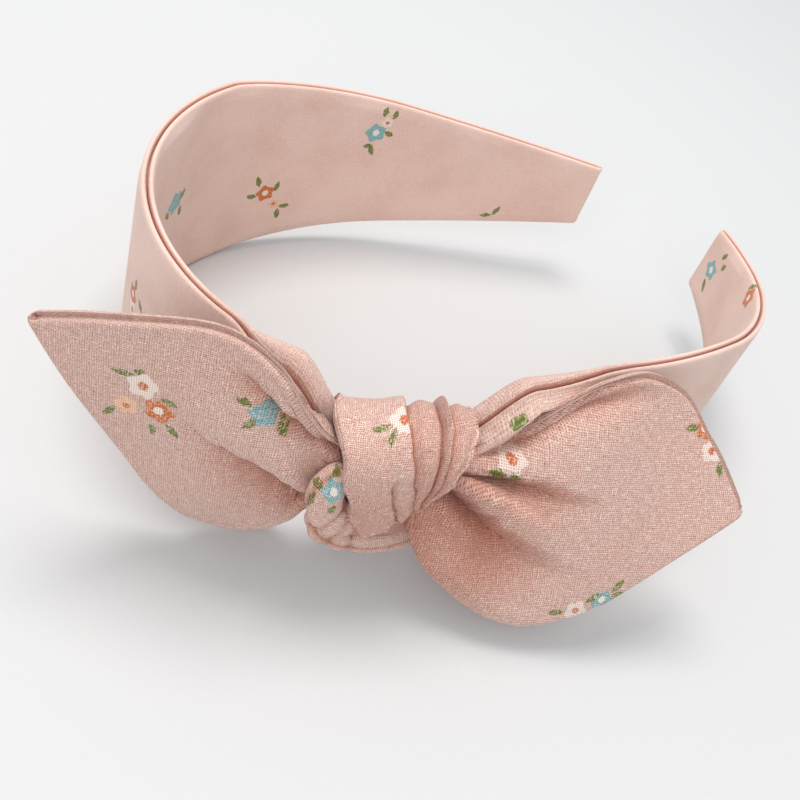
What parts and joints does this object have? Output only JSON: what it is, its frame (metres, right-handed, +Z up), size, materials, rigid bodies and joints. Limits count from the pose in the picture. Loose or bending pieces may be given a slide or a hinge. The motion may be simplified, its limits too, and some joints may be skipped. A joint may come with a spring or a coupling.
{
  "type": "knotted headband",
  "caption": "Sprung U-shaped fabric headband, gathered at one side under a knotted fabric tie whose pointed tails stand out as a bow.",
  "frame": {"origin": "centre of the whole object's plan box, on the plane that the band's lower long edge lies on", "axes": "+Z up across the band's height; +Y from the crown of the head curve towards the open ends; +X to the side that carries the knot"},
  "size_m": [0.1375, 0.1658, 0.057],
  "materials": {
    "floral_cotton": "matt dusty pink plain-weave cotton with small scattered flowers",
    "sewing_thread": "matt pink spun thread",
    "core_plastic": "satin off-white moulded plastic"
  },
  "bodies": {
    "crown": {"core_crown": "core_plastic", "cover_crown_left": "floral_cotton", "cover_crown_right": "floral_cotton", "lining_crown_left": "floral_cotton", "lining_crown_right": "floral_cotton", "top_seam_crown": "sewing_thread", "bottom_seam_crown": "sewing_thread", "knot_wrap": "floral_cotton", "knot_inner_strand": "floral_cotton", "knot_under_loop": "floral_cotton", "knot_side_fold": "floral_cotton", "knot_tacking": "sewing_thread"},
    "left_arm": {"core_left_arm": "core_plastic", "cover_left_arm": "floral_cotton", "lining_left_arm": "floral_cotton", "top_seam_left_arm": "sewing_thread", "bottom_seam_left_arm": "sewing_thread", "end_stitches_left": "sewing_thread"},
    "right_arm": {"core_right_arm": "core_plastic", "cover_right_arm": "floral_cotton", "lining_right_arm": "floral_cotton", "top_seam_right_arm": "sewing_thread", "bottom_seam_right_arm": "sewing_thread", "end_stitches_right": "sewing_thread"},
    "left_tail": {"left_tail_front": "floral_cotton", "left_tail_back": "floral_cotton", "left_tail_seam": "sewing_thread"},
    "right_tail": {"right_tail_front": "floral_cotton", "right_tail_back": "floral_cotton", "right_tail_seam": "sewing_thread"}
  },
  "joints": [
    {"name": "left_arm_flex", "type": "hinge", "parent": "crown", "child": "left_arm", "pos_m": [-0.06745, -0.00993, 0.0246], "axis": [0, 0, 1], "range_deg": [-6, 30], "stiffness_Nm_per_rad": 0.25},
    {"name": "right_arm_flex", "type": "hinge", "parent": "crown", "child": "right_arm", "pos_m": [0.0365, -0.00055, 0.0246], "axis": [0, 0, -1], "range_deg": [-6, 30], "stiffness_Nm_per_rad": 0.25},
    {"name": "left_tail_flop", "type": "hinge", "parent": "crown", "child": "left_tail", "pos_m": [0.00702, -0.0539, 0.0246], "axis": [0, 0, 1], "range_deg": [-15, 20], "stiffness_Nm_per_rad": 0.004},
    {"name": "right_tail_flop", "type": "hinge", "parent": "crown", "child": "right_tail", "pos_m": [0.02301, -0.03733, 0.0246], "axis": [0, 0, -1], "range_deg": [-4, 20], "stiffness_Nm_per_rad": 0.004}
  ]
}
